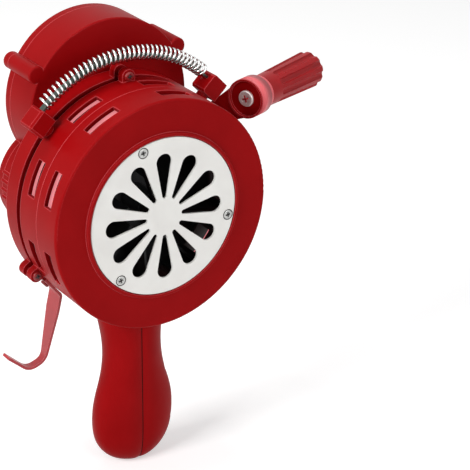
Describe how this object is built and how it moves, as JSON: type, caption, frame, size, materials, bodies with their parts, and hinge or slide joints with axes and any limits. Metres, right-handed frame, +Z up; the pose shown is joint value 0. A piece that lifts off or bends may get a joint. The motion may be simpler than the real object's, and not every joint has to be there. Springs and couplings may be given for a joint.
{
  "type": "hand crank siren",
  "caption": "Hand-held air raid style siren: slotted drum with a round sound grille, pistol grip, geared side crank with a turning knob, spring-sleeved carrying handle and belt hook.",
  "frame": {"origin": "on the rotor's axis, in the seam plane between the front cover and the middle shell", "axes": "-Y the way the sound grille faces, +Z up along the drum away from the grip, +X to the right seen from the front, the crank's side"},
  "size_m": [0.2256, 0.1127, 0.2599],
  "materials": {
    "red_plastic": "moulded, satin red",
    "pale_metal": "smooth off-white enamel",
    "screw_steel": "plated, bright",
    "red_screw": "screw painted with the shell",
    "bearing_steel": "ground",
    "shaft_steel": "turned",
    "stator_plastic": "moulded, pale red",
    "rotor_plastic": "moulded, black",
    "gear_nylon": "moulded, natural",
    "bush_brass": "turned",
    "spring_chrome": "bright wire",
    "strap_steel": "blued flat strip",
    "red_metal": "painted pressed strip"
  },
  "bodies": {
    "siren_body": {"front_cover": "red_plastic", "grille_plate": "pale_metal", "grille_screws": "screw_steel", "front_bearing": "bearing_steel", "stator_ring": "stator_plastic", "mid_shell": "red_plastic", "rear_ring": "red_plastic", "body_screws": "red_screw", "rear_bearing": "bearing_steel", "gear_case_front": "red_plastic", "gear_case_rear": "red_plastic", "case_screws": "screw_steel", "layshaft_bushes": "bush_brass", "crank_bush": "bush_brass", "grip_left": "red_plastic", "grip_right": "red_plastic", "grip_screws": "screw_steel", "handle_block_left": "red_plastic", "handle_block_right": "red_plastic", "handle_bolts": "screw_steel", "handle_strap": "strap_steel", "handle_spring": "spring_chrome", "belt_hook": "red_metal", "hook_screw": "red_screw"},
    "rotor_set": {"rotor": "rotor_plastic", "rotor_shaft": "shaft_steel", "rotor_pinion": "gear_nylon", "thrust_washer": "shaft_steel"},
    "sleeve": {"sleeve_gear": "gear_nylon"},
    "layshaft_set": {"layshaft": "shaft_steel", "layshaft_wheel": "gear_nylon", "layshaft_pinion": "gear_nylon"},
    "crank": {"crank_bevel": "gear_nylon", "crank_shaft": "shaft_steel", "crank_spacer": "gear_nylon", "crank_arm": "red_plastic", "crank_nut": "screw_steel", "knob_axle": "shaft_steel", "knob_screw": "screw_steel"},
    "knob": {"crank_knob": "red_plastic", "knob_collar": "red_plastic", "knob_cap": "red_plastic"}
  },
  "joints": [
    {"name": "crank_spin", "type": "hinge", "parent": "siren_body", "child": "crank", "pos_m": [0.05556, 0.07737, -0.00291], "axis": [0.9123, 0.4067, -0.0478], "continuous": true},
    {"name": "knob_spin", "type": "hinge", "parent": "crank", "child": "knob", "pos_m": [0.08195, 0.02273, 0.03584], "axis": [0.9123, 0.4067, -0.0478], "continuous": true},
    {"name": "sleeve_spin", "type": "hinge", "parent": "siren_body", "child": "sleeve", "pos_m": [0, 0.0421, 0], "axis": [0, 1, 0], "continuous": true},
    {"name": "layshaft_spin", "type": "hinge", "parent": "siren_body", "child": "layshaft_set", "pos_m": [0, 0.0421, 0.0458], "axis": [0, 1, 0], "continuous": true},
    {"name": "rotor_spin", "type": "hinge", "parent": "siren_body", "child": "rotor_set", "pos_m": [0, 0, 0], "axis": [0, 1, 0], "continuous": true}
  ],
  "couplings": [
    {"joint": "sleeve_spin", "follows": "crank_spin", "ratio": 1.5},
    {"joint": "layshaft_spin", "follows": "crank_spin", "ratio": -7.5},
    {"joint": "rotor_spin", "follows": "crank_spin", "ratio": 22.5}
  ]
}
